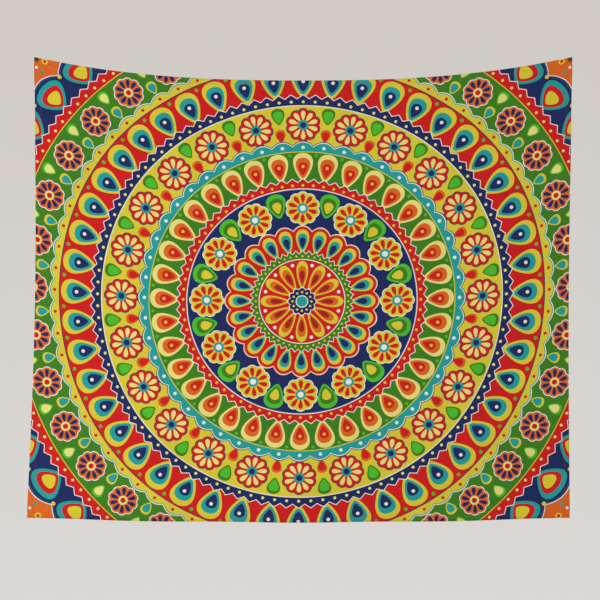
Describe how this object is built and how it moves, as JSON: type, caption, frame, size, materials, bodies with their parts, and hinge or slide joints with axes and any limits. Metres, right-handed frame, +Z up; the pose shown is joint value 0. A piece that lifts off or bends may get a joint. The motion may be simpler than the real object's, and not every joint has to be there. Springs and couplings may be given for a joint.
{
  "type": "tapestry wall hanging",
  "caption": "Wide printed cloth with turned and stitched hems, hung flat on a wall by a tack through each top corner, its top edge sagging between them.",
  "frame": {"origin": "on the face of the wall, midway between the two tacks, at their height", "axes": "+X to the right along the line of the tacks, +Z up, the printed face looks along -Y and the needles point along +Y into the wall"},
  "size_m": [1.534, 0.033, 1.308],
  "materials": {
    "printed_cloth": "printed plain weave, matt with a faint sheen",
    "hem_cloth": "the pale reverse of the print, plain weave",
    "hem_thread": "spun sewing thread",
    "tack_head": "black enamel, satin",
    "tack_needle": "drawn steel wire, ground point"
  },
  "bodies": {
    "pinned_corners": {"left_pinned_corner": "hem_cloth", "right_pinned_corner": "hem_cloth"},
    "cloth": {"cloth_panel": "printed_cloth", "top_hem": "hem_cloth", "bottom_hem": "hem_cloth", "left_hem": "hem_cloth", "right_hem": "hem_cloth", "top_hem_thread": "hem_thread", "bottom_hem_thread": "hem_thread", "left_hem_thread": "hem_thread", "right_hem_thread": "hem_thread"},
    "left_tack": {"left_tack_head": "tack_head", "left_tack_needle": "tack_needle"},
    "right_tack": {"right_tack_head": "tack_head", "right_tack_needle": "tack_needle"}
  },
  "joints": [
    {"name": "cloth_swing", "type": "hinge", "parent": "pinned_corners", "child": "cloth", "pos_m": [0, -0.0023, 0], "axis": [-1, 0, 0], "range_deg": [0, 45]},
    {"name": "left_tack_pull", "type": "slide", "parent": "pinned_corners", "child": "left_tack", "axis": [0, -1, 0], "range_m": [0, 0.008]},
    {"name": "right_tack_pull", "type": "slide", "parent": "pinned_corners", "child": "right_tack", "axis": [0, -1, 0], "range_m": [0, 0.008]}
  ]
}
